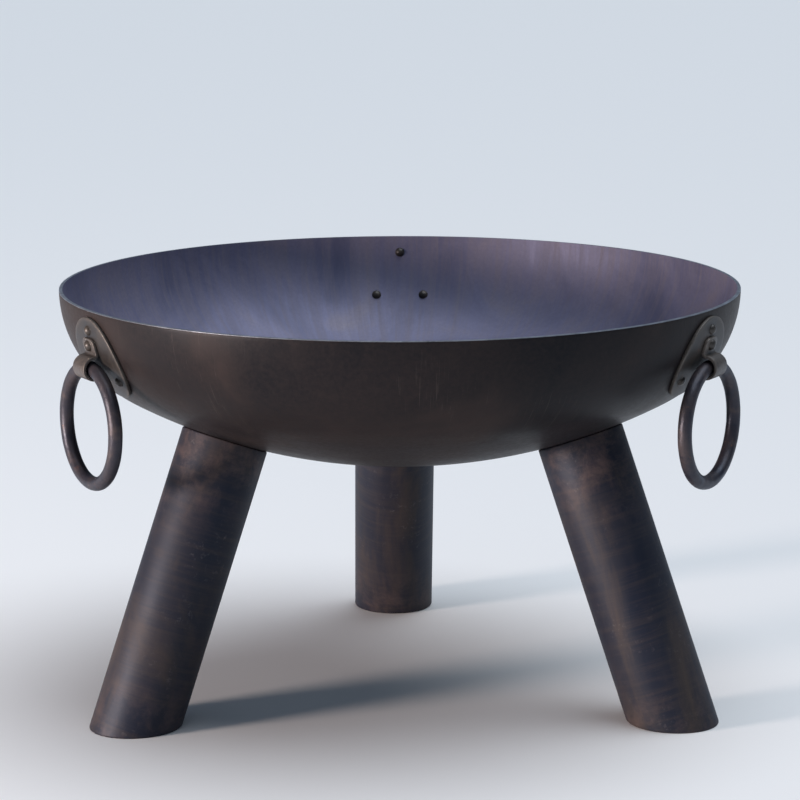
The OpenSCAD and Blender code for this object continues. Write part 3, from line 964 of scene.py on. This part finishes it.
def makeGrate():
    bpy.ops.mesh.primitive_torus_add(
        major_radius=grateR, minor_radius=grate["ringBarR"], major_segments=192, minor_segments=20,
        location=(0, 0, grateUp)
    )
    hoop = newest("grateHoop")
    hammered(hoop, grate["uneven"], grate["grain"])
    smooth(hoop, 180)
    rods, beads = [], []
    for i in range(-barsEachSide, barsEachSide + 1):
        x = i * grate["pitch"]
        half = math.sqrt(grateR ** 2 - x ** 2)
        inner = half - grate["ringBarR"] * grate["enters"]
        rods.append(makeRod("rod", grate["barR"], 2 * inner, (x, 0, grateUp), (math.pi / 2, 0, 0)))
        for end in (-1, 1):
            spot = Vector((x, end * (inner - grate["beadIn"]), grateUp))
            beads.append(makeBead(spot, grate["beadR"], grate["endBead"]))
            if abs(x) < grate["crossLength"] / 2:
                spot = Vector((x, end * grate["crossY"], (grateUp + crossUp) / 2))
                beads.append(makeBead(spot, grate["beadR"], grate["crossBead"]))
    bars = join(rods, "grateBars")
    smooth(bars, 40)
    welds = join(beads, "grateWelds")
    smooth(welds, 180)
    crosses = []
    for end in (-1, 1):
        middle = (0, end * grate["crossY"], crossUp)
        crosses.append(makeRod("cross", grate["barR"], grate["crossLength"], middle, (0, math.pi / 2, 0)))
    crossBars = join(crosses, "grateCrossBars")
    smooth(crossBars, 40)
    finishPiece(hoop, "grate", "grate_steel", [steels["grate"]], "grate_ring")
    finishPiece(bars, "grate", "grate_steel", [steels["grate"]], "grate_bars")
    finishPiece(crossBars, "grate", "grate_steel", [steels["grate"]], "grate_cross_bars")
    finishPiece(welds, "grate", "grate_steel", [steels["grate"]])


makeGrate()
print("grate made")


# floor, lights and camera

def makeStage():
    bpy.ops.mesh.primitive_plane_add(size=60, location=(0, 0, 0))
    floor = newest("studioFloor")
    paint = bpy.data.materials.new("paleFloor")
    paint.use_nodes = True
    coat = paint.node_tree.nodes["Principled BSDF"]
    coat.inputs["Base Color"].default_value = (0.86, 0.86, 0.87, 1)
    coat.inputs["Roughness"].default_value = 0.9
    floor.data.materials.append(paint)


light = {
    "air": (0.62, 0.79, 1.0),
    "airPower": 0.20,
    "sky": (0.90, 0.95, 1.0),
    "skyPower": 2.3,
    "skySpread": math.radians(60),
    "skyTurn": (math.radians(-4), math.radians(16), 0),
    "key": (1.0, 0.82, 0.73),
    "keyPower": 185,
    "keySize": 0.8,
    "keyPlace": Vector((-3.2, -1.6, 0.44)),
    "keyTarget": Vector((0, 0, 0.2)),
}


def hangLamp(lamp):
    holder = bpy.data.objects.new(lamp.name, lamp)
    bpy.context.scene.collection.objects.link(holder)
    return holder


def makeLights():
    world = bpy.data.worlds.new("studio")
    world.use_nodes = True
    bpy.context.scene.world = world
    tree = world.node_tree
    air = tree.nodes["Background"]
    air.inputs["Color"].default_value = (*light["air"], 1)
    air.inputs["Strength"].default_value = light["airPower"]
    sky = bpy.data.lights.new("skyLight", "SUN")
    sky.energy = light["skyPower"]
    sky.angle = light["skySpread"]
    sky.color = light["sky"]
    hangLamp(sky).rotation_euler = light["skyTurn"]
    key = bpy.data.lights.new("keyLight", "AREA")
    key.shape = "DISK"
    key.size = light["keySize"]
    key.energy = light["keyPower"]
    key.color = light["key"]
    holder = hangLamp(key)
    holder.location = light["keyPlace"]
    holder.rotation_euler = (light["keyTarget"] - light["keyPlace"]).to_track_quat("-Z", "Y").to_euler()
    bpy.context.scene.view_settings.view_transform = "Standard"


view = {
    "lens": 135.8,
    "sensor": 36,
    "place": (0, -2.640, 0.775),
    "turn": (math.radians(90 - 11.07), math.radians(0.11), math.radians(-0.02)),
}


def makeCamera():
    lens = bpy.data.cameras.new("studioCamera")
    lens.lens = view["lens"]
    lens.sensor_width = view["sensor"]
    camera = bpy.data.objects.new("studioCamera", lens)
    camera.location = view["place"]
    camera.rotation_euler = view["turn"]
    bpy.context.scene.collection.objects.link(camera)
    bpy.context.scene.camera = camera


makeStage()
makeLights()
makeCamera()
